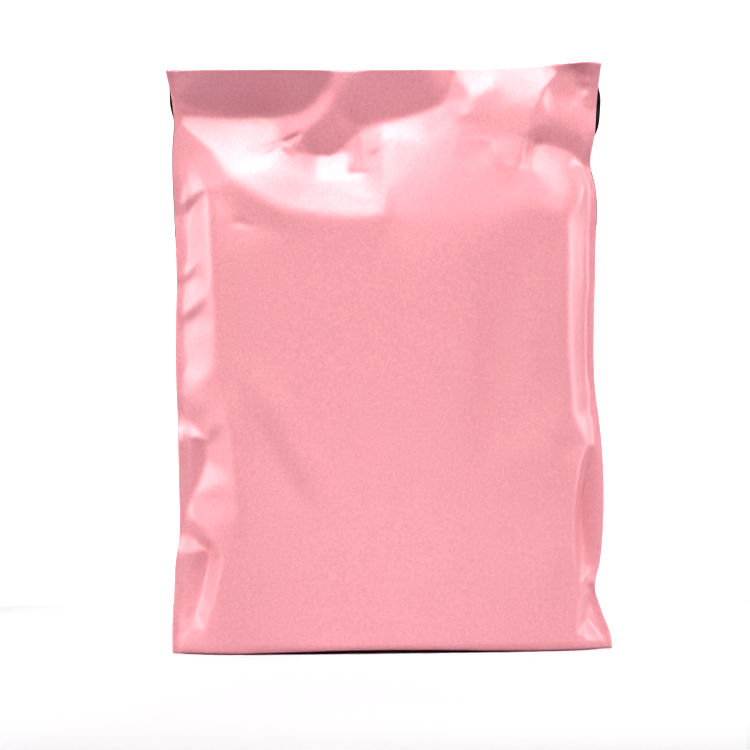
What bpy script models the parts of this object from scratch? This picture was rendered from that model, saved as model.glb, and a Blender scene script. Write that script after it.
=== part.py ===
"""Filled and sealed poly mailer bag, standing on its folded bottom edge.

One sheet of co-extruded film is folded along the bottom, welded up both sides, filled with a
flat folded garment, and closed by folding its flap back over the mouth onto a strip of glue.
Metres, +Z up. The plain front panel faces -Y. The origin is the middle of the base.
"""

import math

import bmesh
import bpy
import numpy as np
from mathutils import Matrix

MM = 0.001

# The bag, closed and filled
HEIGHT = 331 * MM
CONTENT_HALF_WIDTH = 97 * MM
CONTENT_TOP = 262 * MM
CONTENT_THICKNESS = 35 * MM
HEEL_RADIUS = 5 * MM
ARCH_HEIGHT = 3 * MM
ARCH_HALF_SPAN = 68 * MM
CORNER_SOFTNESS = 0.16

# The film, thicker here than the real 0.06 mm so that each layer is a solid
WELD_THICKNESS = 0.9 * MM
WELD_WIDTH = 4 * MM
FLAP_FILM = 0.5 * MM
FLAP_LENGTH = 40 * MM
FLAP_GAP = 1.5 * MM
FLAP_HALF_WIDTH = 122.5 * MM
FLAP_CORNER_DRAW = 2.5 * MM
HEEL_TOP = HEEL_RADIUS + ARCH_HEIGHT
FOLD_RADIUS = (WELD_THICKNESS + FLAP_GAP + FLAP_FILM) / 2
FLAP_END = HEIGHT - FLAP_LENGTH

# The glue strip that holds the flap down
GLUE_THICKNESS = 0.4 * MM
GLUE_WIDTH = 16 * MM
GLUE_FROM_FLAP_EDGE = 8 * MM
GLUE_HALF_LENGTH = 113 * MM

# The box round the whole bag is centred on these, so they are taken off at the end
BOX_CENTRE_X = -0.6 * MM
BOX_CENTRE_Y = 0.0 * MM

# Half widths of the bag seen from the front, as (height, half width) in millimetres.
# The weld draws in where the filling swells the bag and flares to full width at the corners.
LEFT_OUTLINE = [
    (0, 126), (20, 125), (35, 124), (50, 122.3), (70, 120.3), (100, 120.8), (200, 121.2),
    (270, 122.2), (308, 122.2), (320, 123.2), (331, 124.8),
]
RIGHT_OUTLINE = [
    (0, 124.8), (15, 121), (25, 117.6), (36, 115.5), (48, 117.8), (62, 119.3), (90, 118.8),
    (132, 118.4), (142, 116.9), (160, 117.6), (190, 116.8), (262, 118), (277, 115.8),
    (292, 117.8), (310, 118.6), (322, 121.2), (331, 121.8),
]

# Folds pressed into the front panel: start and end (x, z), half width and depth, in millimetres
FRONT_FOLDS = [
    ((-124, 124), (-105, 121), 8, 4.5),    # upper buckle on the left side
    ((-120, 72), (-103, 58), 8, 5.0),      # lower buckle on the left side
    ((-121, 188), (-112, 192), 5, 2.0),
    ((-121, 226), (-112, 230), 6, 2.0),
    ((80, 272), (119, 275), 7, 5.0),       # deep pinch below the top right corner
    ((116, 34), (107, 16), 7, 4.0),        # pocket above the bottom right corner
    ((119, 142), (111, 140), 6, 2.0),
    ((112, 110), (113, 60), 5, 2.5),
    ((-34, 296), (-4, 283), 7, 3.0),       # soft dishes below the top fold
    ((-95, 303), (-40, 301), 12, 4.0),
]
BACK_FOLDS = [
    ((122, 150), (104, 146), 8, 4.0),
    ((121, 86), (103, 78), 8, 4.0),
    ((-119, 168), (-104, 160), 8, 4.0),
    ((-118, 60), (-104, 50), 7, 4.0),
    ((-60, 268), (40, 262), 9, 2.5),
]
# How far the closed top leans forward, as (share of the width from left to right, lean in mm)
TOP_LEAN = [(0.0, 1.0), (0.12, 5.0), (0.33, 6.0), (0.42, 3.0), (0.58, 5.0), (0.76, 0.0),
            (0.86, 1.0), (0.94, 5.0), (1.0, 2.0)]
LEAN_START = 300 * MM

COLUMNS = 36
FRONT_ROWS = 34
HEEL_STEPS = 3
FOLD_STEPS = 4
FLAP_ROWS = 6


def clear_scene():
    for thing in list(bpy.data.objects):
        bpy.data.objects.remove(thing, do_unlink=True)


def along_points(points, value):
    """A smooth value between hand-set points, eased so that it has no corners."""
    places = [p[0] for p in points]
    if value <= places[0]:
        return points[0][1]
    if value >= places[-1]:
        return points[-1][1]
    after = int(np.searchsorted(places, value, side="right"))
    (a, low), (b, high) = points[after - 1], points[after]
    share = (value - a) / (b - a)
    return low + (high - low) * share * share * (3 - 2 * share)


def half_width(side, z):
    """Distance of the welded edge from the centre line, on the left (-1) or right (+1)."""
    outline = LEFT_OUTLINE if side < 0 else RIGHT_OUTLINE
    return along_points(outline, z / MM) * MM


def arch(x):
    """Lift of the bottom fold, which bows up between its two feet."""
    share = min(abs(x) / ARCH_HALF_SPAN, 1.0)
    return ARCH_HEIGHT * (1 - share * share) ** 2


def smooth_min(a, b, softness):
    blend = max(softness - abs(a - b), 0.0) / softness
    return min(a, b) - blend * blend * softness / 4


def fullness(x, z):
    """1 over the filling, falling to 0 at the welds and at the closed top."""
    edge = half_width(x, z) - WELD_WIDTH
    sideways = (edge - abs(x)) / (edge - CONTENT_HALF_WIDTH)
    upward = (HEIGHT - z) / (HEIGHT - CONTENT_TOP)
    share = smooth_min(sideways, upward, 2 * CORNER_SOFTNESS)
    return min(max(smooth_min(share, 1.0, 2 * CORNER_SOFTNESS), 0.0), 1.0)


def folds_at(folds, x, z):
    """Depth of the pressed-in folds at a point of a panel."""
    depth = 0.0
    for start, end, half, deep in folds:
        (ax, az), (bx, bz) = start, end
        run_x, run_z = bx - ax, bz - az
        share = ((x / MM - ax) * run_x + (z / MM - az) * run_z) / (run_x**2 + run_z**2)
        share = min(max(share, 0.0), 1.0)
        away = math.hypot(x / MM - ax - share * run_x, z / MM - az - share * run_z)
        depth += deep * MM * math.exp(-((away / half) ** 2))
    return depth


def lean(x, z):
    """How far both panels lean forward near the top fold."""
    share = (x / FLAP_HALF_WIDTH + 1) / 2
    rise = max(z - LEAN_START, 0.0) / (HEIGHT - LEAN_START)
    return along_points(TOP_LEAN, share) * MM * rise * rise


def panels(x, z, at_edge):
    """(y of the front panel, y of the back panel). They meet on the welded edge."""
    if at_edge:
        return -lean(x, z), -lean(x, z)
    full = fullness(x, z)
    half = (WELD_THICKNESS + (CONTENT_THICKNESS - WELD_THICKNESS) * full) / 2
    free = max(half - WELD_THICKNESS / 2, 0.0)
    front = half - min(folds_at(FRONT_FOLDS, x, z), 0.8 * free)
    back = half - min(folds_at(BACK_FOLDS, x, z), 0.8 * free)
    return -front - lean(x, z), back - lean(x, z)


def column_share(column):
    """-1 to 1 across the bag, with the columns closer together near the welds."""
    even = 2 * column / COLUMNS - 1
    return math.sin(even * math.pi / 2) * 0.45 + even * 0.55


def heights():
    """Heights of the rows up a panel, closer together at the heel and below the top fold."""
    top = HEIGHT - FOLD_RADIUS
    for row in range(FRONT_ROWS + 1):
        share = row / FRONT_ROWS
        yield HEEL_TOP + (top - HEEL_TOP) * (share - 0.07 * math.sin(2 * math.pi * share))


def film_route(column):
    """The film's outer face in one column: up the front, over the fold, round the flap's
    free edge, up its inner face to the mouth, and down the back to the base."""
    across = column_share(column)
    at_edge = column in (0, COLUMNS)

    def at(z):
        x = across * half_width(across, z)
        front, back = panels(x, z, at_edge)
        return x, front, back

    x0, front0, back0 = at(0.0)
    heel_front = min(HEEL_RADIUS, -front0)
    heel_back = min(HEEL_RADIUS, back0)
    rows = list(heights())
    turns = [math.pi / 2 * step / HEEL_STEPS for step in range(HEEL_STEPS)]
    lift = arch(x0)
    heel_rise = HEEL_TOP - lift
    route = [(x0, 0.0, lift), (x0, (front0 + heel_front) / 2, lift)]
    for turn in turns:
        y = front0 + heel_front * (1 - math.sin(turn))
        route.append((x0, y, lift + heel_rise * (1 - math.cos(turn))))
    for z in rows:
        x, front, _ = at(z)
        route.append((x, front, z))

    top = rows[-1]
    x_top, front_top, back_top = at(top)
    inner = FLAP_GAP
    outer = FLAP_GAP + (0.0 if at_edge else FLAP_FILM)
    middle = (front_top + back_top + outer) / 2
    radius = (back_top + outer - front_top) / 2
    for step in range(1, FOLD_STEPS):
        turn = math.pi * step / FOLD_STEPS
        route.append((x_top, middle - radius * math.cos(turn), top + FOLD_RADIUS * math.sin(turn)))

    flap = []
    for row in range(FLAP_ROWS + 1):
        down = row / FLAP_ROWS
        z = top + (FLAP_END - top) * down
        x_flap = x_top + (across * (FLAP_HALF_WIDTH - FLAP_CORNER_DRAW * down**2) - x_top) * down
        _, back = panels(x_flap * 0.94, z, at_edge)
        flap.append((x_flap, back, z))
    route += [(x, y + outer, z) for x, y, z in flap]
    route += [(x, y + inner, z) for x, y, z in reversed(flap)]

    for z in reversed(rows):
        x, _, back = at(z)
        route.append((x, back, z))
    for turn in reversed(turns):
        y = back0 - heel_back * (1 - math.sin(turn))
        route.append((x0, y, lift + heel_rise * (1 - math.cos(turn))))
    route += [(x0, (back0 - heel_back) / 2, lift), (x0, 0.0, lift)]
    return route


def material(name, colour, roughness):
    made = bpy.data.materials.new(name)
    made.use_nodes = True
    shader = made.node_tree.nodes["Principled BSDF"]
    shader.inputs["Base Color"].default_value = (*colour, 1.0)
    shader.inputs["Roughness"].default_value = roughness
    shader.inputs["Metallic"].default_value = 0.0
    return made


def finish(name, mesh_data, surface, collection):
    mesh = bpy.data.meshes.new(name)
    bmesh.ops.recalc_face_normals(mesh_data, faces=mesh_data.faces)
    mesh_data.to_mesh(mesh)
    mesh_data.free()
    mesh.transform(Matrix.Translation((-BOX_CENTRE_X, -BOX_CENTRE_Y, 0.0)))
    mesh.materials.append(surface)
    mesh.shade_smooth()
    mesh.set_sharp_from_angle(angle=math.radians(50))
    made = bpy.data.objects.new(name, mesh)
    collection.objects.link(made)
    return made


def sheet_from_routes(routes):
    """A grid whose columns follow the routes, one per column."""
    columns, rows = len(routes) - 1, len(routes[0]) - 1
    sheet = bmesh.new()
    bmesh.ops.create_grid(sheet, x_segments=columns, y_segments=rows, size=1.0)
    for vertex in sheet.verts:
        column = round((vertex.co.x + 1) / 2 * columns)
        row = round((vertex.co.y + 1) / 2 * rows)
        vertex.co = routes[column][row]
    return sheet


def make_bag(surface, collection):
    """The folded, welded and filled film: one closed body with its flap."""
    film = sheet_from_routes([film_route(column) for column in range(COLUMNS + 1)])
    bmesh.ops.remove_doubles(film, verts=film.verts, dist=0.00001)
    open_edges = [edge for edge in film.edges if edge.is_boundary]
    bmesh.ops.holes_fill(film, edges=open_edges, sides=0)
    bmesh.ops.triangulate(film, faces=film.faces)
    return finish("mailer_bag", film, surface, collection)


def make_glue_strip(surface, collection):
    """The pressure-sensitive strip between the flap and the back panel."""
    low = FLAP_END + GLUE_FROM_FLAP_EDGE
    steps = 24
    rows = 3
    from_panel = (FLAP_GAP - GLUE_THICKNESS) / 2
    routes = []
    for column in range(steps + 1):
        x = GLUE_HALF_LENGTH * (2 * column / steps - 1)
        route = []
        for row in range(rows + 1):
            z = low + GLUE_WIDTH * row / rows
            route.append((x, panels(x * 0.94, z, False)[1] + from_panel, z))
        routes.append(route)
    strip = sheet_from_routes(routes)
    bmesh.ops.solidify(strip, geom=strip.faces[:], thickness=GLUE_THICKNESS)
    return finish("adhesive_strip", strip, surface, collection)


def main():
    clear_scene()
    collection = bpy.data.collections.new("poly_mailer_bag")
    bpy.context.scene.collection.children.link(collection)
    pink_film = material("pink_film", (0.89, 0.38, 0.45), 0.35)
    clear_glue = material("clear_glue", (0.82, 0.80, 0.72), 0.2)
    make_bag(pink_film, collection)
    make_glue_strip(clear_glue, collection)


main()
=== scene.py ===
import math

import bmesh
import bpy
import numpy as np
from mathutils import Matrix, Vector
from mathutils.geometry import delaunay_2d_cdt


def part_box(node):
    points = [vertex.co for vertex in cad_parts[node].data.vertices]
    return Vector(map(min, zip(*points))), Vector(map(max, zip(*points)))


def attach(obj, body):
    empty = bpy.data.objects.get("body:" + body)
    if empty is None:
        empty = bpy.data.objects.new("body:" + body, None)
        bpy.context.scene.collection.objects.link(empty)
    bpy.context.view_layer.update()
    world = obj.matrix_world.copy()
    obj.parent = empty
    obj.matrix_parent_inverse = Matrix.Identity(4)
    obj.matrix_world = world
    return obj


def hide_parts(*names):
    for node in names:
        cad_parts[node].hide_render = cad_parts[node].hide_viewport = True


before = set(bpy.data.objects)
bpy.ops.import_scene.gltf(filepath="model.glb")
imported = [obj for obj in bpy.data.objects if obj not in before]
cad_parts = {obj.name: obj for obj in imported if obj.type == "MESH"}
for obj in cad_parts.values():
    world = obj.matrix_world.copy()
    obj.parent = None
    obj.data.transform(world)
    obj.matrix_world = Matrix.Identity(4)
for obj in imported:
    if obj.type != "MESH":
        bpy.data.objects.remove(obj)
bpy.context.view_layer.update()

bag_low, bag_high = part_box("mailer_bag")
MM = 0.001


# THE FILM BAG
# One sheet of 0.06 mm polyethylene, pink outside and black inside, folded along the bottom and
# welded up both sides. A flat folded garment fills it, so the panels bulge, the sides buckle into
# pockets, and the flap is drawn over the top and stuck down the back.
HEIGHT = (bag_high[2] - bag_low[2]) / MM

# The welded side edges as (height, x) in millimetres, with only the turns of the outline: the
# spread bottom corners, the draw-in above them, the straight run beside the filling, the waist
# above the filling and the flare of the top corners.
LEFT_EDGE = [
    (0, -125), (10, -125), (34, -123.5), (50, -122.5), (65, -120.5), (100, -120), (180, -121),
    (215, -120), (250, -121), (285, -121.5), (303, -120.5), (315, -121.5), (331, -124.5),
]
RIGHT_EDGE = [
    (0, 125), (6, 124.5), (22, 119), (35, 115.5), (50, 118.5), (65, 120), (130, 119), (143, 117.5),
    (220, 118), (262, 118.5), (276, 116), (292, 118.5), (310, 120), (331, 122.5),
]

# The front panel as lines across it, each point (x, z, how far it stands out), in millimetres.
# The film spans straight between them, rounded over a few millimetres beside a "soft" line.
FRONT_LINES = [
    # the swell over the filling, from above the bottom fold to the shoulder
    ("soft", [(-80, 2, 17.8), (-40, 2, 19.4), (0, 2, 19.8), (40, 2, 19.6), (85, 2, 17.8)]),
    ("soft", [(-84, 50, 18.2), (-40, 50, 19.2), (0, 50, 19.6), (45, 50, 19.3), (92, 50, 17.4)]),
    ("soft", [(-70, 112, 17.9), (-34, 78, 18.8), (-20, 60, 19.3)]),
    ("soft", [(-50, 112, 18.0), (0, 112, 18.7), (45, 112, 18.6), (92, 112, 17.0)]),
    ("soft", [(-88, 178, 17.2), (-66, 146, 17.5), (-48, 152, 17.9), (0, 178, 18.0), (45, 178, 18.0),
              (90, 178, 16.4)]),
    ("soft", [(-84, 226, 17.0), (-40, 226, 17.6), (0, 226, 18.0), (45, 226, 18.1), (88, 226, 16.4)]),
    # the front of the top fold
    ("soft", [(-122, 331, 11), (-100, 331, 15), (-60, 331, 16.5), (-38, 331, 15), (-28, 331, 11),
              (-10, 331, 14), (22, 331, 13), (40, 331, 5.8), (58, 331, 4.8), (70, 331, 4.4),
              (80, 331, 4.0), (88, 331, 3.8), (93, 331, 5.4), (99, 331, 9), (108, 331, 10.5),
              (113, 331, 11.5), (121, 331, 9)]),
    # the same slopes carried on past both folds, where the panel is cut off
    ("soft", [(-131, 345, 12), (-100, 345, 20), (-60, 345, 24), (-38, 345, 21), (-28, 345, 11),
              (-10, 345, 18), (22, 345, 17), (40, 345, 3), (58, 345, -1), (70, 345, -2), (80, 345, -2),
              (88, 345, -2), (93, 345, 4), (99, 345, 12), (108, 345, 15), (113, 345, 16), (131, 345, 14)]),
    ("soft", [(-108, -14, 10), (-80, -14, 18), (0, -14, 19.6), (85, -14, 18), (112, -14, 10)]),
    # foot of the overhanging band under the fold, at the left
    ("soft", [(-116, 306.5, 1.4), (-105, 306, -0.8), (-82, 305, -2.4), (-62, 305.5, -1.8),
              (-50, 306, 1.2), (-42, 309.5, 3.8), (-36, 318, 6.4), (-33, 326, 9.4)]),
    # the even slope of the bright shoulder
    ("soft", [(-103, 294, 4.2), (-92, 286, 7.2), (-82, 279, 10.0), (-70, 274, 12.6), (-56, 270, 13.2),
              (-42, 267.5, 12.4), (-28, 267, 11.8), (-12, 268, 11.4)]),
    ("soft", [(-100, 298, 1.8), (-86, 293, 3.2), (-74, 293, 3.0), (-66, 296, 1.8)]),
    # ridge that runs down from the fold to the middle of the shoulder
    ("soft", [(-27, 328, 11.6), (-27, 318, 11.4), (-33, 309, 10.4), (-43, 299, 9.4), (-49, 293.5, 8.0),
              (-59, 289.5, 5.4), (-71, 285, 5.9)]),
    # foot of the overhang in the middle, down to the pinched crease
    ("crisp", [(-51, 283.5, 6.4), (-45, 285, 4.4), (-40, 282, 3.2), (-31, 281.5, 3.2),
               (-24, 284, 3.6), (-20.5, 291, 3.8), (-18, 299, 3.6)]),
    ("soft", [(-18, 299, 3.6), (-6, 299.5, 3.4), (8, 302, 3.8), (22, 306, 4.8), (33, 309, 6.4)]),
    # crest below the bright shoulder
    ("soft", [(-116, 302, 2.4), (-97, 285, 8.6), (-86, 269, 15.0), (-77, 261.5, 17.0), (-59, 251, 18.6),
              (-40, 247.5, 18.6), (-19, 245.5, 18.6), (-4, 247, 18.0)]),
    ("soft", [(-84, 246, 15.8), (-70, 241, 16.6), (-56, 238, 17.6)]),
    # the plainer right half of the shoulder
    ("soft", [(3, 290, 8.2), (4, 262, 14.6), (14, 246, 17.0), (40, 243, 17.6), (68, 246, 17.4)]),
    ("soft", [(24, 288, 12.2), (34, 272, 15.0), (50, 266, 15.6), (70, 262, 15.4)]),
    # dome beside the white dip, and its inside
    ("soft", [(33, 302, 10.2), (40, 307, 11.8), (49, 314, 12.0), (60, 320.5, 10.4), (68, 318.5, 10.2),
              (75.5, 309, 12.4), (80, 293, 13.2)]),
    ("soft", [(45, 300, 12.6), (58, 308, 12.0), (66, 306, 11.8), (70, 292, 12.2), (56, 286, 13.0)]),
    # the dip itself
    ("soft", [(80, 313.5, 11.4), (81, 304, 13.0), (82.5, 294, 13.0)]),
    # the corner that stands up beside it
    ("crisp", [(84, 297, 12.6), (87.5, 311, 11.6), (91.5, 319.5, 8.8), (98, 326, 7.0)]),
    ("soft", [(96, 312, 6.0), (103, 320, 4.6), (107, 312, 2.8)]),
    ("crisp", [(108.5, 329, 3.2), (109, 319, 2.2), (110.5, 310, 3.4), (115.5, 308, 3.6)]),
    ("soft", [(94, 301, 8.8), (104, 303, 6.8), (112, 301, 5.4)]),
    # upper edge of the overhang above the pinch
    ("soft", [(86, 293.5, 9.4), (92, 296.5, 8.6), (101, 296, 7.8), (110, 291, 6.8)]),
    # the pinch below that corner: the lip of its steep left wall, then its foot
    ("crisp", [(76.6, 277.3, 13.4), (77.4, 283, 13.2), (79.4, 289.5, 12.6), (82.6, 293.4, 11.8)]),
    ("crisp", [(62.5, 277, 14.7), (71, 277.3, 14.2), (77.2, 277.3, 13.2)]),
    ("crisp", [(80.5, 276, 7.8), (81.5, 280, 6.4), (84, 287, 5.4), (90, 287.3, 5.2), (95, 286, 5.0),
               (102, 283.3, 4.4), (107, 280.5, 3.8), (110, 275.5, 2.4), (112, 274.5, 1.4)]),
    ("soft", [(81.5, 274, 8.2), (84.5, 268, 10.2), (91, 259.5, 12.4), (99, 249, 14.8)]),
    ("soft", [(85, 281, 6.8), (92, 276, 8.8), (100, 270, 10.8), (106, 264, 12.2), (109, 254, 12.4)]),
    ("soft", [(73, 272, 15.4), (80, 262, 16.4), (88, 251, 17.2)]),
    # left side from the top down: first the wall of the filling
    ("soft", [(-104, 270, 10.4), (-101, 262, 13.4), (-100, 250, 15.4), (-99, 232, 16.2),
              (-99, 208, 16.4), (-98, 186, 16.8), (-97, 165, 17.0)]),
    ("soft", [(-112, 296, 3.8), (-113, 280, 4.4), (-113, 268, 4.6)]),
    ("crisp", [(-116, 255, 4.0), (-111, 258.5, 6.6), (-104, 263.5, 11.6)]),
    ("crisp", [(-115.5, 251, 1.6), (-110, 254, 4.2)]),
    ("soft", [(-113, 242, 2.6), (-113, 230, 2.4), (-113.5, 222, 2.6)]),
    ("crisp", [(-115.5, 214, 3.2), (-111.5, 218.5, 5.6)]),
    ("crisp", [(-115.5, 210.5, 1.6), (-109.5, 213.5, 5.4)]),
    ("crisp", [(-116, 192.5, 3.6), (-110, 196.5, 7.6)]),
    ("crisp", [(-116, 188.5, 1.4), (-109, 191, 4.8), (-105, 194, 9.0)]),
    ("soft", [(-113.5, 178, 3.2), (-114, 164, 3.4)]),
    # upper pocket: crest above it, its two folds, and the flat dark facet below
    ("soft", [(-116, 146.5, 4.2), (-112, 150, 7.2), (-104, 154.5, 12.6), (-96, 157, 16.6)]),
    ("soft", [(-109, 141, 8.4), (-101.5, 139, 13.0), (-100.5, 128, 13.0)]),
    ("crisp", [(-115.5, 135, 1.2), (-112.5, 132.5, 2.0), (-108, 127.5, 4.6), (-103.8, 121.5, 7.0)]),
    ("crisp", [(-115.5, 123.8, 7.8), (-111, 123.2, 8.6), (-103.8, 121.5, 7.6)]),
    ("crisp", [(-103.5, 118, 6.2), (-104, 110, 5.0), (-107.5, 100, 4.0), (-112.5, 89, 3.4),
               (-115.6, 82, 3.2)]),
    ("soft", [(-112, 113, 5.6), (-113, 102, 4.4)]),
    ("soft", [(-92, 152, 17.4), (-90, 130, 17.9), (-87, 100, 18.4), (-83.5, 80, 18.8), (-82, 69, 18.6)]),
    # light facet between the two pockets, and the thin crest that goes on below it
    ("crisp", [(-115.5, 76.5, 4.6), (-111, 75.5, 7.8), (-105, 71, 11.4), (-100, 66, 14.2),
               (-96.5, 60, 15.8), (-95.2, 55, 16.4), (-96, 48, 16.4), (-98, 40, 16.0), (-101, 27, 14.8),
               (-105.5, 14, 12.2)]),
    ("soft", [(-100, 66, 14.2), (-92, 65.5, 16.6), (-86, 66.5, 17.8)]),
    ("soft", [(-93, 60, 16.6), (-92.5, 50, 17.0), (-94, 38, 16.8), (-97, 25, 16.2)]),
    # lower pocket
    ("crisp", [(-115.8, 70, 1.0), (-112, 66.5, 2.0), (-103, 58.5, 5.0)]),
    ("crisp", [(-116, 57.8, 6.8), (-111, 58.2, 7.6), (-103, 57.4, 6.0)]),
    ("crisp", [(-103.6, 51, 4.6), (-105, 44, 4.2), (-107.5, 34, 4.4), (-111, 24, 5.4), (-114, 15, 7.0)]),
    ("soft", [(-113, 46, 4.6), (-114.5, 32, 4.2), (-118, 18, 4.8)]),
    ("soft", [(-119, 5, 6.0), (-108, 4, 11.0), (-96, 3, 15.6)]),
    # right side from the top down
    ("soft", [(112, 262, 9.2), (112, 250, 7.6), (113.5, 235, 4.0), (114, 200, 3.4), (114, 160, 3.2),
              (113, 146, 4.2)]),
    ("soft", [(102, 243, 15.4), (102, 210, 15.8), (102, 170, 15.8), (103.5, 146, 15.0), (105, 132, 14.2)]),
    ("soft", [(113, 135, 6.6)]),
    ("crisp", [(114, 124, 6.6), (111.5, 116, 9.6), (107, 104, 13.4), (104.6, 90, 14.8),
               (103.2, 75, 15.6), (103, 60, 15.8), (104, 48, 15.2), (107, 38, 12.8), (110.5, 31, 10.0)]),
    ("crisp", [(113.6, 113, 4.8), (111.4, 103, 4.2), (108.4, 88, 3.8), (107.4, 76, 3.8),
               (108.8, 60, 4.0), (108.4, 48, 5.0)]),
    ("soft", [(112, 44, 7.4), (112.5, 38, 7.6)]),
    ("crisp", [(111.5, 32.5, 7.4), (108.5, 29, 10.0), (105.4, 22, 12.4), (104.6, 8, 14.0)]),
    ("crisp", [(112, 26, 2.6), (110.6, 18, 4.0), (115, 12.5, 2.0), (118.5, 8, 1.2)]),
    ("soft", [(108, 9, 12.8), (112, 6, 10.4), (118, 2, 7.0)]),
]
# How far the welds themselves stand out at each height: they buckle with the pockets
LEFT_WELD = [
    (0, 0), (12, 2.2), (30, 3.6), (46, 4.0), (57, 5.8), (64, 1.6), (71, 0.6), (78, 2.4), (92, 3.8),
    (105, 4.6), (118, 6.4), (124, 6.6), (130, 2.2), (137, 0.8), (145, 2.6), (165, 2.6), (188, 0.9),
    (192, 2.4), (210, 0.8), (214, 2.2), (228, 2.0), (250, 0.8), (255, 2.2), (270, 3.4), (300, 2.6),
    (316, 4.0), (331, 9.0),
]
RIGHT_WELD = [
    (0, 2.6), (7, 1.0), (14, 1.6), (28, 1.8), (33, 4.6), (40, 5.4), (50, 4.8), (60, 6.0), (85, 6.4),
    (108, 5.8), (126, 4.6), (142, 3.0), (160, 2.4), (232, 2.6), (255, 4.6), (266, 3.4), (275, 1.0),
    (284, 4.4), (295, 5.6), (307, 2.6), (318, 3.4), (331, 7.5),
]
WELD_STEP = 4.0

# The front panel is worked out on a fine grid that reaches past the bag on every side, rounded
# over ROUNDING in the open and over CREASE_ROUNDING within CRISP_REACH of a "crisp" line.
RELIEF_PITCH = 0.5
RELIEF_SIDE = 131
RELIEF_LOW, RELIEF_HIGH = -14, 345
ROUNDING = 3.4
CREASE_ROUNDING = 0.6
CRISP_REACH = 9
CRISP_CREST = 0.2
CRISP_GAIN = 1.4
# How far in from each weld the filling's full depth is reached, how softly the panel turns there,
# and how soon a crease reaches its full height as it leaves a weld
LEFT_SLOPE = 19
RIGHT_SLOPE = 16
SHOULDER = 0.35
CREASE_GAIN = 2.5

# Small creases. Each is a path of (x, z, rise) in millimetres, then how far its flank reaches to
# the left and to the right of the path, then how sharp its crest is, 0 to 1.
FRONT_CREASES = [
    # dark streak and its lip in the band below the fold, at the left
    ([(-121, 316, -0.9), (-108, 312, -1.0), (-92, 309, 0)], 4, 5, 0.7),
    # right edge of the bright shoulder: an old storage crease
    ([(-1.5, 306, 0), (-1.2, 290, 0.7), (-1.6, 262, 1.0), (-1.9, 246, 0.7), (-2, 236, 0)], 9, 14, 0.9),
    ([(-2, 236, 0.12), (-2.5, 140, 0.1), (-3, 120, 0)], 4, 4, 0.8),
    # little creases round the pinch in the middle of the shoulder
    ([(-76, 304.5, 0), (-72, 302, 0.5), (-68, 300, 0)], 3, 2.5, 0.8),
    ([(-73, 284, 0), (-59, 288.5, -2.2), (-50, 293, -1.8), (-47, 295, 0)], 4, 3, 0.9),
    ([(-66, 284.5, 0), (-59, 288.5, 2.2), (-54, 284.5, 1.6), (-51, 283, 0)], 2.4, 3.5, 1),
    ([(-36, 275.5, 0), (-31, 279, 0.9), (-27, 281, 0)], 2.5, 2.5, 0.9),
    ([(-11, 282, 0), (-6, 285, 1.2), (-1.5, 290.5, 0.5)], 4, 3, 0.9),
    ([(-17, 296, 0), (-17, 284, -1.5), (-17.3, 272, -1.7), (-18, 269, 0)], 2.5, 7, 0.9),
    ([(-22, 271, 0), (-16, 272, -0.9), (-9, 270.5, 0)], 3, 3, 0.8),
    ([(-45, 250.5, 0), (-42.5, 249, 0.5), (-40, 251, 0)], 2, 2, 0.8),
    ([(-90, 244.5, 0), (-82, 243.5, -0.8), (-74, 240.5, 0)], 4, 4, 0.6),
    ([(46, 287, 0), (50, 289, 0.3), (59, 288, 0.4), (62, 281, 0.9), (64, 273, 0)], 3, 5, 0.9),
    ([(-28, 262, 0), (-12, 256, 0.4), (-4, 258, 0)], 5, 5, 0.6),
    ([(30, 296, 0), (44, 303, 0.5), (55, 306, 0)], 5, 7, 0.6),
    # long soft swells in the middle of the panel, from the filling's own folds
    ([(-82, 168, 0), (-64, 140, 1.8), (-46, 105, 1.8), (-30, 76, 0)], 14, 16, 0.1),
    ([(-93, 158, 0), (-89, 125, 1.8), (-86, 92, 1.6), (-84, 72, 0)], 9, 8, 0.2),
    ([(74, 236, 0), (66, 190, -1.6), (58, 120, -1.2), (48, 80, 0)], 20, 22, 0.0),
    # crumpled corner
    ([(111, 321, 0), (116, 320.5, 1.6), (122, 318, 1.2)], 3, 4, 0.9),
    ([(111, 311, 0), (116, 315, 1.5), (122, 312, 0.9)], 3, 4, 0.9),
]

# The back panel, which rises from the fold behind the flap in the same way
BACK_SHAPE_X = [-124, -100, -60, -20, 20, 60, 100, 124]
BACK_SHAPE = [
    (331, [-6.0, -6.5, -8.0, -6.5, -6.0, 1.0, -3.0, -1.0]),
    (322, [-4.0, -4.0, -5.0, -4.5, -3.5, 0.0, -1.5, 0.0]),
    (312, [-1.0, -1.0, -1.0, -1.5, -1.0, 1.0, 0.5, 1.0]),
    (300, [1.0, 2.5, 3.5, 2.5, 3.0, 4.5, 3.0, 2.0]),
    (285, [4.0, 7.0, 9.0, 8.5, 8.5, 9.0, 7.0, 4.0]),
    (265, [8.0, 12.0, 14.5, 15.0, 15.0, 14.5, 12.0, 8.0]),
    (240, [12.0, 15.5, 17.0, 17.3, 17.3, 17.0, 15.5, 12.0]),
    (180, [14.0, 16.5, 17.5, 17.8, 17.8, 17.5, 16.5, 14.0]),
    (110, [14.5, 17.0, 18.0, 18.3, 18.3, 18.0, 17.0, 14.5]),
    (50, [14.5, 17.0, 18.4, 18.8, 18.8, 18.4, 17.0, 14.5]),
    (0, [14.0, 16.5, 18.2, 18.8, 18.8, 18.2, 16.5, 14.0]),
]
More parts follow.
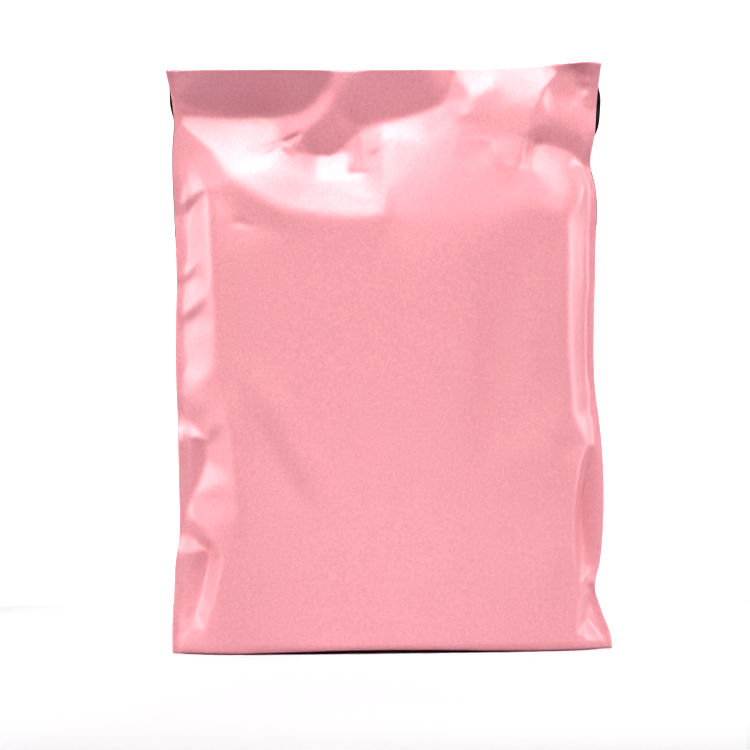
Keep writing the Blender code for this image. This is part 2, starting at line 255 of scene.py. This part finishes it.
BACK_CREASES = [
    ([(122, 152, -1.0), (112, 148, -3.0), (103, 145, -3.4), (100, 143, 0)], 9, 10, 0.8),
    ([(122, 86, -1.0), (112, 82, -3.0), (102, 78, -3.2), (99, 74, 0)], 8, 10, 0.8),
    ([(-120, 168, -1.0), (-112, 164, -3.0), (-104, 160, -3.0), (-100, 157, 0)], 8, 9, 0.8),
    ([(-119, 62, -1.0), (-111, 57, -3.2), (-104, 50, -3.2), (-101, 44, 0)], 8, 9, 0.8),
    ([(-70, 272, 0), (-40, 268, -1.2), (0, 266, -1.5), (35, 263, -1.0), (60, 266, 0)], 10, 12, 0.5),
    ([(-96, 210, 0), (-80, 150, 0.8), (-72, 110, 0)], 14, 14, 0.3),
    ([(90, 215, 0), (84, 180, 1.2), (88, 120, 1.0), (80, 90, 0)], 12, 14, 0.3),
]
# The two panels with the closed space between them, and how soon they part beside a weld
LEAST_THICKNESS = 1.0
PARTING_GAIN = 6
# How much higher the top fold stands at each x, where the right corner is drawn up
TOP_RISE = [(-125, 0), (84, 0), (91, 0.3), (98, 1.2), (108, 2.2), (118, 2.0), (123, 1.2)]
TOP_RISE_FROM, TOP_RISE_OVER = 305, 26
WELD_FILM = 0.35
WELD_WIDTH = 3.5
# Two stretches along the welds' outer edge, each given as (side, foot, head), where a thin line of
# faces takes the black inner film material and draws a dark line at the edge
CUT_EDGE = 0.3
BLACK_EDGES = [(-1, 236, 303), (1, 240, 271)]
# The bottom fold: the radius of its heel, and the arch between the two ends that it stands on
HEEL = 4.0
HEEL_STEPS = 6
HEEL_SHARE = 0.8
ARCH = 1.8
ARCH_MIDDLE = -5
ARCH_HALF_SPAN = 100
# The top fold and the flap behind it
FOLD_BEND = 1.1
FOLD_STEPS = 6
FLAP_LENGTH = 40
FLAP_OFF = 0.9
FLAP_FILM = 0.25
FLAP_PITCH = 2.0
# The flap's ends reach past the back panel, so the panel's depth is read this much nearer the middle
BEHIND_SHARE = 0.985
# How far the flap's two ends reach past the side edges at each height
FLAP_PAST_LEFT = [(288, -3), (302, 0), (312, 1.3), (322, 0), (331, -0.5)]
FLAP_PAST_RIGHT = [(288, -1.5), (291, 0), (305, 2.2), (313, 1.8), (319, 0), (331, -0.7)]


def through(knots, values, at):
    """A smooth line through given values, with the mean slope of its neighbours at each."""
    knots = np.asarray(knots, dtype=float)
    values = np.asarray(values, dtype=float)
    slopes = np.gradient(values, knots)
    b = np.clip(np.searchsorted(knots, at, side="right"), 1, len(knots) - 1)
    a = b - 1
    span = knots[b] - knots[a]
    t = np.clip((at - knots[a]) / span, 0, 1)
    rest = 1 - t
    ends = values[a] * rest * rest * (1 + 2 * t) + values[b] * t * t * (1 + 2 * rest)
    return ends + span * t * rest * (slopes[a] * rest - slopes[b] * t)


def edge_line(points, z):
    return through([p[0] for p in points], [p[1] for p in points], z)


def hand_shape(places, shape, x, z):
    """The listed relief of a panel on the rows of a grid, each row at one height."""
    knots = [row[0] for row in shape][::-1]
    values = np.array([row[1] for row in shape], dtype=float)[::-1]
    relief = np.empty_like(x)
    for row in range(len(x)):
        at_height = [through(knots, values[:, k], z[row, 0]) for k in range(len(places))]
        relief[row] = through(places, at_height, x[row])
    return relief


def flank(share, crest):
    """1 on a crease's crest, 0 at the foot of its flank, straight in between."""
    crest_end = 0.02 + 0.45 * (1 - crest)
    foot_start = 0.5
    down = np.clip(share, 0, 1)
    fallen = np.minimum(down, crest_end) ** 2 / (2 * crest_end)
    fallen = fallen + np.clip(down, crest_end, foot_start) - crest_end
    past = np.maximum(down - foot_start, 0)
    fallen += past - past * past / (2 * (1 - foot_start))
    return 1 - fallen / (crest_end / 2 + (foot_start - crest_end) + (1 - foot_start) / 2)


def crease(path, left, right, crest, x, z):
    """Height that one crease adds to a panel, in millimetres."""
    nearest = np.full(x.shape, 1e9)
    side = np.zeros(x.shape)
    rise = np.zeros(x.shape)
    for (ax, az, low), (bx, bz, high) in zip(path, path[1:]):
        run_x, run_z = bx - ax, bz - az
        along = ((x - ax) * run_x + (z - az) * run_z) / (run_x**2 + run_z**2)
        along = np.clip(along, 0, 1)
        away = np.hypot(x - ax - along * run_x, z - az - along * run_z)
        closer = away < nearest
        nearest = np.where(closer, away, nearest)
        side = np.where(closer, run_x * (z - az) - run_z * (x - ax), side)
        rise = np.where(closer, low + (high - low) * along, rise)
    reach = np.where(side > 0, left, right)
    return rise * flank(nearest / reach, crest)


def soft_min(a, b, softness):
    blend = np.maximum(softness - np.abs(a - b), 0) / softness
    return np.minimum(a, b) - blend * blend * softness / 4


def inward_of(x, z):
    """0 on the inner side of a weld, 1 over the filling."""
    from_left = (x - edge_line(LEFT_EDGE, z) - WELD_WIDTH) / LEFT_SLOPE
    from_right = (edge_line(RIGHT_EDGE, z) - x - WELD_WIDTH) / RIGHT_SLOPE
    return np.clip(soft_min(np.minimum(from_left, from_right), 1.0, 2 * SHOULDER), 0, 1)


def creased(out, creases, x, z):
    """A panel with its small creases added, which fade out towards the welds."""
    away_from_weld = np.clip(inward_of(x, z) * CREASE_GAIN, 0, 1)
    for path, left, right, crest in creases:
        out += crease(path, left, right, crest, x, z) * away_from_weld
    return out


def back_relief(x, z):
    """How far the back panel stands out from the bag's middle plane, in millimetres."""
    relief = hand_shape(BACK_SHAPE_X, BACK_SHAPE, x, z)
    at_weld = -np.where(x < 0, edge_line(LEFT_WELD, z), edge_line(RIGHT_WELD, z))
    return creased(at_weld + (relief - at_weld) * inward_of(x, z), BACK_CREASES, x, z)


def rounded(relief, radius):
    """The relief averaged over a bell of this radius, first across and then upwards."""
    reach = int(3 * radius / RELIEF_PITCH) + 1
    steps = np.arange(-reach, reach + 1) * RELIEF_PITCH
    bell = np.exp(-((steps / radius) ** 2))
    bell /= bell.sum()
    for axis in (0, 1):
        padded = np.pad(relief, [(reach, reach) if axis == k else (0, 0) for k in (0, 1)], mode="edge")
        relief = np.apply_along_axis(np.convolve, axis, padded, bell, mode="valid")
    return relief


def nearest_out(lines, spot):
    """How far the nearest of the lines stands out, for a place where two of them cross."""
    best, found = 1e9, 0.0
    for _, line in lines:
        for (ax, az, low), (bx, bz, high) in zip(line, line[1:]):
            run_x, run_z = bx - ax, bz - az
            along = ((spot.x - ax) * run_x + (spot.y - az) * run_z) / (run_x**2 + run_z**2)
            along = min(max(along, 0.0), 1.0)
            away = math.hypot(spot.x - ax - along * run_x, spot.y - az - along * run_z)
            if away < best:
                best, found = away, low + (high - low) * along
    return found


def spanned(lines, across, upward):
    """Film stretched straight between the points of the lines, on a grid."""
    points, edges = [], []
    for _, line in lines:
        for step, (px, pz, _) in enumerate(line):
            points.append(Vector((px, pz)))
            if step:
                edges.append((len(points) - 2, len(points) - 1))
    found, _, corners, *_ = delaunay_2d_cdt(points, edges, [], 0, 0.001)
    heights_of = [nearest_out(lines, spot) for spot in found]
    relief = np.full((len(upward), len(across)), np.nan)
    for face in corners:
        (ax, az), (bx, bz), (cx, cz) = (found[k][:] for k in face)
        low, high, near, far = min(ax, bx, cx), max(ax, bx, cx), min(az, bz, cz), max(az, bz, cz)
        columns_in = np.nonzero((across >= low - 1) & (across <= high + 1))[0]
        rows_in = np.nonzero((upward >= near - 1) & (upward <= far + 1))[0]
        gx, gz = np.meshgrid(across[columns_in], upward[rows_in])
        area = (bx - ax) * (cz - az) - (cx - ax) * (bz - az)
        if abs(area) < 1e-6:
            continue
        u = ((bx - gx) * (cz - gz) - (cx - gx) * (bz - gz)) / area
        v = ((cx - gx) * (az - gz) - (ax - gx) * (cz - gz)) / area
        w = 1 - u - v
        inside = (u > -1e-6) & (v > -1e-6) & (w > -1e-6)
        value = u * heights_of[face[0]] + v * heights_of[face[1]] + w * heights_of[face[2]]
        part = relief[rows_in[0]:rows_in[-1] + 1, columns_in[0]:columns_in[-1] + 1]
        part[inside] = value[inside]
    return relief


def front_relief(x, z):
    """How far the front panel stands out from the bag's middle plane, in millimetres."""
    across = np.arange(-RELIEF_SIDE, RELIEF_SIDE + 0.1, RELIEF_PITCH)
    upward = np.arange(RELIEF_LOW, RELIEF_HIGH + 0.1, RELIEF_PITCH)
    welds = []
    for edge, weld, inner in ((LEFT_EDGE, LEFT_WELD, WELD_WIDTH), (RIGHT_EDGE, RIGHT_WELD, -WELD_WIDTH)):
        line = []
        for height in [RELIEF_LOW] + list(np.arange(-6, 330, WELD_STEP)) + [RELIEF_HIGH]:
            at = min(max(height, 0), edge[-1][0])
            lean = float(np.interp(at, [k[0] for k in weld], [k[1] for k in weld]))
            line.append((float(edge_line(edge, np.array(at))) + inner, float(height), lean))
        welds.append(("crisp", line))
    outer = [("soft", [(side * RELIEF_SIDE, pz, out) for _, pz, out in welds[k][1]])
             for k, side in ((0, -1), (1, 1))]
    sharp = spanned(FRONT_LINES + welds + outer, across, upward)
    sharp = np.where(np.isnan(sharp), 0.0, sharp)
    smooth = rounded(sharp, ROUNDING)
    sharp = rounded(sharp, CREASE_ROUNDING)
    gx, gz = np.meshgrid(across, upward)
    crispness = np.zeros(gx.shape)
    for kind, line in FRONT_LINES + welds:
        if kind == "crisp":
            flat_line = [(px, pz, 1.0) for px, pz, _ in line]
            beside_line = crease(flat_line, CRISP_REACH, CRISP_REACH, CRISP_CREST, gx, gz)
            crispness = np.maximum(crispness, beside_line)
    relief = smooth + (sharp - smooth) * np.clip(crispness * CRISP_GAIN, 0, 1)
    # read off the grid, straight between its points
    column = (x - across[0]) / RELIEF_PITCH
    row = (z - upward[0]) / RELIEF_PITCH
    left, below = column.astype(int), row.astype(int)
    over, up = column - left, row - below
    low = relief[below, left] * (1 - over) + relief[below, left + 1] * over
    high = relief[below + 1, left] * (1 - over) + relief[below + 1, left + 1] * over
    return creased(low * (1 - up) + high * up, FRONT_CREASES, x, z)


def arch(x):
    """Lift of the bottom fold between the two ends that it stands on."""
    share = np.clip(np.abs(x - ARCH_MIDDLE) / ARCH_HALF_SPAN, 0, 1)
    return ARCH * (1 - share * share) ** 2


def mesh_rows(start, stop, pitch):
    """Evenly spaced places from start to stop, about a pitch apart."""
    return np.linspace(start, stop, max(2, round(abs(stop - start) / pitch) + 1))


# The mesh is finer where the small folds are: near both folds and along the welds
FINE_BELOW, FINE_ABOVE = 60, 262
FINE_BEYOND = 85
EVEN_HALF_WIDTH = 122
fine, coarse, middle_pitch = 1.1, 1.8, 1.4
top = HEIGHT - FOLD_BEND
heights = np.concatenate([
    mesh_rows(HEEL + ARCH, FINE_BELOW, fine)[:-1],
    mesh_rows(FINE_BELOW, FINE_ABOVE, coarse)[:-1],
    mesh_rows(FINE_ABOVE, top, fine),
])
across = np.concatenate([
    [-EVEN_HALF_WIDTH],
    mesh_rows(CUT_EDGE - EVEN_HALF_WIDTH, -FINE_BEYOND, fine)[:-1],
    mesh_rows(-FINE_BEYOND, FINE_BEYOND, middle_pitch)[:-1],
    mesh_rows(FINE_BEYOND, EVEN_HALF_WIDTH - CUT_EDGE, fine),
    [EVEN_HALF_WIDTH],
]) / EVEN_HALF_WIDTH
columns = len(across)


def spread(z_row):
    """x of every column on rows at the given heights."""
    z = np.repeat(np.asarray(z_row, dtype=float)[:, None], columns, axis=1)
    left, right = edge_line(LEFT_EDGE, z), edge_line(RIGHT_EDGE, z)
    return (left + right) / 2 + across[None, :] * (right - left) / 2, z


front_x, front_z = spread(heights)
front_out = front_relief(front_x, front_z)
back_out = back_relief(front_x, front_z)
weld_half = WELD_FILM / 2
back_out = np.maximum(back_out, LEAST_THICKNESS - front_out)
middle = (front_out - back_out) / 2
half = (front_out + back_out) / 2
# the two panels close onto each other along the weld
closing = np.clip(inward_of(front_x, front_z) * PARTING_GAIN, 0, 1)
half = weld_half + (half - weld_half) * closing
half[:, 0] = half[:, -1] = 0.0
front_y = -(middle + half)
back_y = -(middle - half)

rows = []


def behind_panel(x, z):
    """y of the back panel on rows at the given heights."""
    found = np.empty_like(x)
    for row in range(len(x)):
        at_height = [np.interp(z[row, 0], heights, back_y[:, c]) for c in range(columns)]
        found[row] = np.interp(x[row] * BEHIND_SHARE, front_x[0], at_height)
    return found


def add_row(x, y, z):
    rows.append(np.stack([x, y, z], axis=1))


base_x = spread([0.0])[0][0]
lift = arch(base_x)
heel_top = heights[0]
first_front, first_back = front_y[0], back_y[0]
heel_front = np.minimum(HEEL, -first_front * HEEL_SHARE)
heel_back = np.minimum(HEEL, first_back * HEEL_SHARE)
turns = [math.pi / 2 * step / HEEL_STEPS for step in range(HEEL_STEPS)]


def add_heel_row(panel_foot, inward, turn):
    """One row of the rounded heel, from flat under the bag to upright at the panel's foot."""
    share = 1 - math.cos(turn)
    add_row(base_x + (front_x[0] - base_x) * share,
            panel_foot + inward * (1 - math.sin(turn)), lift + (heel_top - lift) * share)


# The film's route, row by row: out from the middle of the base, up the front, over the top fold,
# down the flap's outside and up its inside, down the back and home along the base
add_row(base_x, np.zeros(columns), lift)
for share in (0.25, 0.5, 0.75):
    add_row(base_x, (first_front + heel_front) * share, lift)
for turn in turns:
    add_heel_row(first_front, heel_front, turn)
for row in range(len(heights)):
    add_row(front_x[row], front_y[row], front_z[row])
top_front, top_back = front_y[-1], back_y[-1]
outside = np.full(columns, FLAP_OFF + FLAP_FILM)
outside[[0, -1]] = FLAP_OFF
bend_middle = (top_front + top_back + outside) / 2
bend_radius = (top_back + outside - top_front) / 2
for step in range(1, FOLD_STEPS):
    turn = math.pi * step / FOLD_STEPS
    add_row(front_x[-1], bend_middle - bend_radius * math.cos(turn),
            np.full(columns, top) + FOLD_BEND * math.sin(turn))
flap_heights = mesh_rows(top, HEIGHT - FLAP_LENGTH, FLAP_PITCH)
flap_x, flap_z = spread(flap_heights)
flap_low = edge_line(LEFT_EDGE, flap_z) - edge_line(FLAP_PAST_LEFT, flap_z)
flap_high = edge_line(RIGHT_EDGE, flap_z) + edge_line(FLAP_PAST_RIGHT, flap_z)
flap_x = (flap_low + flap_high) / 2 + across[None, :] * (flap_high - flap_low) / 2
behind = behind_panel(flap_x, flap_z)
for row in range(len(flap_z)):
    add_row(flap_x[row], behind[row] + outside, flap_z[row])
flap_outer_end = len(rows)
for row in reversed(range(len(flap_z))):
    add_row(flap_x[row], behind[row] + FLAP_OFF, flap_z[row])
flap_inner_end = len(rows)
for row in reversed(range(len(heights))):
    add_row(front_x[row], back_y[row], front_z[row])
for turn in reversed(turns):
    add_heel_row(first_back, -heel_back, turn)
for share in (0.75, 0.5, 0.25, 0.0):
    add_row(base_x, (first_back - heel_back) * share, lift)
route = np.array(rows)
near_top = np.clip((route[:, :, 2] - TOP_RISE_FROM) / TOP_RISE_OVER, 0, 1)
route[:, :, 2] += edge_line(TOP_RISE, route[:, :, 0]) * near_top
route *= MM

SEWN_WITHIN = 0.000004


def sheet_along(route):
    """A grid of faces on the points of a route. Each vertex's index is its row."""
    sheet = bmesh.new()
    last_row, last_column = len(route) - 1, len(route[0]) - 1
    bmesh.ops.create_grid(sheet, x_segments=last_column, y_segments=last_row, size=1.0)
    for vertex in sheet.verts:
        column = round((vertex.co.x + 1) / 2 * last_column)
        row = round((vertex.co.y + 1) / 2 * last_row)
        vertex.co = route[row, column]
        vertex.index = row
    for face in sheet.faces:
        face.smooth = True
    return sheet


def closed_object(name, sheet, sharp_degrees):
    """The sheet joined where its ends meet and closed at its open sides, as one body."""
    bmesh.ops.remove_doubles(sheet, verts=sheet.verts, dist=SEWN_WITHIN)
    bmesh.ops.holes_fill(sheet, edges=[edge for edge in sheet.edges if edge.is_boundary], sides=0)
    bmesh.ops.recalc_face_normals(sheet, faces=sheet.faces)
    mesh = bpy.data.meshes.new(name)
    sheet.to_mesh(mesh)
    sheet.free()
    mesh.set_sharp_from_angle(angle=math.radians(sharp_degrees))
    made = bpy.data.objects.new(name, mesh)
    bpy.context.scene.collection.objects.link(made)
    return made


film = sheet_along(route)
# the black inside of the film shows on the flap's inner face; the faces on the listed stretches of the
# welds' edge take it too, as a thin dark line
for face in film.faces:
    low_row = min(vertex.index for vertex in face.verts)
    face.material_index = 1 if flap_outer_end <= low_row < flap_inner_end - 1 else 0
    centre = face.calc_center_median() / MM
    for side, foot, head in BLACK_EDGES:
        reach = edge_line(LEFT_EDGE if side < 0 else RIGHT_EDGE, np.array(centre.z))
        if foot < centre.z < head and side * (centre.x - reach) > -CUT_EDGE:
            face.material_index = 1
film_bag = closed_object("film_bag", film, 60)


def new_material(name):
    """A material with its node tree, its shader and the place of each point on the piece."""
    made = bpy.data.materials.new(name)
    made.use_nodes = True
    nodes, links = made.node_tree.nodes, made.node_tree.links
    shader = nodes["Principled BSDF"]
    place = nodes.new("ShaderNodeTexCoord").outputs["Object"]
    return made, nodes, links, shader, place


def noise_at(nodes, links, place, scale, detail=2.0):
    made = nodes.new("ShaderNodeTexNoise")
    made.inputs["Scale"].default_value = scale
    made.inputs["Detail"].default_value = detail
    links.new(place, made.inputs["Vector"])
    return made.outputs["Fac"]


def tone_between(nodes, links, source, low, high, start=0.0, stop=1.0):
    """A colour that goes from low to high as the source goes from start to stop."""
    made = nodes.new("ShaderNodeValToRGB")
    made.color_ramp.elements[0].position = start
    made.color_ramp.elements[0].color = (*low, 1)
    made.color_ramp.elements[1].position = stop
    made.color_ramp.elements[1].color = (*high, 1)
    links.new(source, made.inputs["Fac"])
    return made.outputs["Color"]


def value_between(nodes, links, source, low, high):
    made = nodes.new("ShaderNodeMapRange")
    made.inputs["To Min"].default_value = low
    made.inputs["To Max"].default_value = high
    links.new(source, made.inputs["Value"])
    return made.outputs["Result"]


def bumps(nodes, links, source, strength, distance):
    made = nodes.new("ShaderNodeBump")
    made.inputs["Strength"].default_value = strength
    made.inputs["Distance"].default_value = distance
    links.new(source, made.inputs["Height"])
    return made.outputs["Normal"]


# satin pink film: a faint mottle in its tone and gloss, and a fine grain
pink, nodes, links, shader, place = new_material("pink_outer_film")
mottle = noise_at(nodes, links, place, 700.0, 3.0)
tone = tone_between(nodes, links, mottle, (0.67, 0.318, 0.372), (0.75, 0.371, 0.427), 0.3, 0.7)
links.new(tone, shader.inputs["Base Color"])
links.new(value_between(nodes, links, mottle, 0.48, 0.58), shader.inputs["Roughness"])
grain = noise_at(nodes, links, place, 1500.0)
links.new(bumps(nodes, links, grain, 0.75, 0.00005), shader.inputs["Normal"])
shader.inputs["Specular IOR Level"].default_value = 0.5
shader.inputs["Coat Weight"].default_value = 1.0
shader.inputs["Coat IOR"].default_value = 1.6
shader.inputs["Coat Roughness"].default_value = 0.42

inner, nodes, links, shader, place = new_material("black_inner_film")
speckle = noise_at(nodes, links, place, 400.0)
tone = tone_between(nodes, links, speckle, (0.004, 0.004, 0.005), (0.012, 0.011, 0.013))
links.new(tone, shader.inputs["Base Color"])
shader.inputs["Roughness"].default_value = 0.5
film_bag.data.materials.append(pink)
film_bag.data.materials.append(inner)
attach(film_bag, "root")
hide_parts("mailer_bag")


# THE GLUE STRIP
# A clear bead of pressure-sensitive hot melt, rolled flat across the inside of the flap. It holds
# the flap to the back panel, and its release liner has been peeled off.
GLUE_LOW, GLUE_HIGH = 299, 315
GLUE_HALF_LENGTH = 113
GLUE_NEAR, GLUE_FAR = 0.2, 0.7
GLUE_COLUMNS = 114
EDGE_THINNESS = 0.55
WAVE_DEPTH, WAVE_RATE = 0.06, 0.35
strip_z = mesh_rows(GLUE_LOW, GLUE_HIGH, FLAP_PITCH)
strip_x = np.linspace(-GLUE_HALF_LENGTH, GLUE_HALF_LENGTH, GLUE_COLUMNS)
strip_x, strip_z = np.meshgrid(strip_x, strip_z)
on_panel = behind_panel(strip_x, strip_z)
# the bead thins out at its long edges and is a little wavy, as hot melt is
middle_share = 1 - np.abs(strip_z - (GLUE_LOW + GLUE_HIGH) / 2) / ((GLUE_HIGH - GLUE_LOW) / 2)
wave = 1 - WAVE_DEPTH + WAVE_DEPTH * np.sin(strip_x * WAVE_RATE)
bead = np.clip(EDGE_THINNESS + middle_share * 2, 0, 1) * wave
far_side = GLUE_NEAR + (GLUE_FAR - GLUE_NEAR) * bead
loop = [np.stack([strip_x[k], on_panel[k] + GLUE_NEAR, strip_z[k]], axis=1)
        for k in range(len(strip_z))]
loop += [np.stack([strip_x[k], on_panel[k] + far_side[k], strip_z[k]], axis=1)
         for k in reversed(range(len(strip_z)))]
loop.append(loop[0])
glue_strip = closed_object("glue_strip", sheet_along(np.array(loop) * MM), 40)

glue, nodes, links, shader, place = new_material("clear_hot_melt")
cloud = noise_at(nodes, links, place, 220.0, 3.0)
tone = tone_between(nodes, links, cloud, (0.80, 0.76, 0.62), (0.88, 0.86, 0.76))
links.new(tone, shader.inputs["Base Color"])
links.new(value_between(nodes, links, cloud, 0.18, 0.34), shader.inputs["Roughness"])
ripple = noise_at(nodes, links, place, 500.0)
links.new(bumps(nodes, links, ripple, 0.4, 0.00008), shader.inputs["Normal"])
shader.inputs["Transmission Weight"].default_value = 0.35
shader.inputs["IOR"].default_value = 1.48
glue_strip.data.materials.append(glue)
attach(glue_strip, "root")
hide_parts("adhesive_strip")


# THE FLOOR
# A plain pale studio table top, in matt painted board. It reaches far in front of the bag and a
# little way behind it.
FLOOR_HALF_WIDTH, FLOOR_HALF_DEPTH = 3.0, 1.8
FLOOR_MIDDLE_Y = -1.45
floor_mesh = bpy.data.meshes.new("studio_floor")
slab = bmesh.new()
bmesh.ops.create_grid(slab, x_segments=2, y_segments=2, size=1.0)
bmesh.ops.scale(slab, verts=slab.verts, vec=(FLOOR_HALF_WIDTH, FLOOR_HALF_DEPTH, 1.0))
bmesh.ops.translate(slab, verts=slab.verts, vec=(0.0, FLOOR_MIDDLE_Y, 0.0))
slab.to_mesh(floor_mesh)
slab.free()
floor = bpy.data.objects.new("studio_floor", floor_mesh)
bpy.context.scene.collection.objects.link(floor)
pale, nodes, links, shader, place = new_material("pale_floor")
cloudy = noise_at(nodes, links, place, 3.0)
tone = tone_between(nodes, links, cloudy, (0.67, 0.675, 0.715), (0.71, 0.715, 0.755))
links.new(tone, shader.inputs["Base Color"])
shader.inputs["Roughness"].default_value = 0.8
floor_mesh.materials.append(pale)


# LIGHT AND CAMERA
# Soft boxes above, straight ahead, at both sides and behind. Three small narrow lamps add a little
# light on the foot, on the dip at the top right and on the shoulder at the left.
LAMP_COLOUR = (1.0, 0.99, 0.94)


def soft_box(name, place, aim, width, height, watts, spread=180):
    """A rectangular lamp that faces its aim. Its light fans out over the spread, in degrees."""
    lamp = bpy.data.lights.new(name, "AREA")
    lamp.shape = "RECTANGLE"
    lamp.size = width
    lamp.size_y = height
    lamp.energy = watts
    lamp.spread = math.radians(spread)
    lamp.color = LAMP_COLOUR
    made = bpy.data.objects.new(name, lamp)
    made.location = place
    made.rotation_mode = "QUATERNION"
    made.rotation_quaternion = (Vector(aim) - Vector(place)).to_track_quat("-Z", "Y")
    bpy.context.scene.collection.objects.link(made)


bag_middle = (0, 0, 0.165)
soft_box("key_above", (-0.13, -0.80, 1.46), (0, -0.06, 0.12), 0.60, 0.50, 0.58, spread=50)
soft_box("shoulder_light", (-0.20, -1.30, 1.08), bag_middle, 0.50, 0.30, 0.44, spread=50)
soft_box("overhead", (-0.05, -0.30, 1.60), (0, -0.08, 0.16), 0.60, 0.40, 0.45, spread=50)
soft_box("front_fill", (0.0, -2.18, 0.47), bag_middle, 0.80, 0.60, 0.62)
soft_box("low_fill", (0.02, -2.1, 0.10), (0.0, 0, 0.05), 0.30, 0.16, 0.0075, spread=8)
soft_box("dip_light", (0.0, -0.95, 1.36), (0.078, 0, 0.322), 0.20, 0.20, 0.015, spread=8)
soft_box("left_glow", (-0.2, -0.8, 1.45), (-0.085, 0, 0.29), 0.20, 0.20, 0.012, spread=9)
soft_box("left_strip", (-1.52, -0.27, 0.58), bag_middle, 0.35, 0.80, 7.0)
soft_box("right_strip", (1.52, -0.27, 0.58), bag_middle, 0.35, 0.80, 8.0)
soft_box("back_light", (0.2, 1.1, 1.4), (0, 0.2, 0.1), 0.60, 0.60, 1.0, spread=70)

# the backdrop is white behind the bag and fades to dark at the sides, above and in front
world = bpy.data.worlds.new("studio")
bpy.context.scene.world = world
world.use_nodes = True
sky_nodes, sky_links = world.node_tree.nodes, world.node_tree.links
ahead = sky_nodes.new("ShaderNodeTexCoord")
split = sky_nodes.new("ShaderNodeSeparateXYZ")
half_turn = sky_nodes.new("ShaderNodeMath")
half_turn.operation = "MULTIPLY_ADD"
half_turn.inputs[1].default_value = 0.5
half_turn.inputs[2].default_value = 0.5
sky_links.new(ahead.outputs["Generated"], split.inputs["Vector"])
sky_links.new(split.outputs["Y"], half_turn.inputs[0])
backdrop = tone_between(sky_nodes, sky_links, half_turn.outputs[0],
                        (0.08, 0.08, 0.08), (1, 1, 1), 0.60, 0.95)
sky_links.new(backdrop, sky_nodes["Background"].inputs["Color"])
sky_nodes["Background"].inputs["Strength"].default_value = 0.8

bpy.context.scene.view_settings.view_transform = "Standard"
bpy.context.scene.view_settings.look = "Very High Contrast"
eye = bpy.data.cameras.new("camera")
eye.lens = 135
eye.sensor_width = 36
camera = bpy.data.objects.new("camera", eye)
camera.location = (-0.0079, -1.60, 0.1569)
camera.rotation_euler = (math.radians(90), math.radians(0.7), 0)
bpy.context.scene.collection.objects.link(camera)
bpy.context.scene.camera = camera
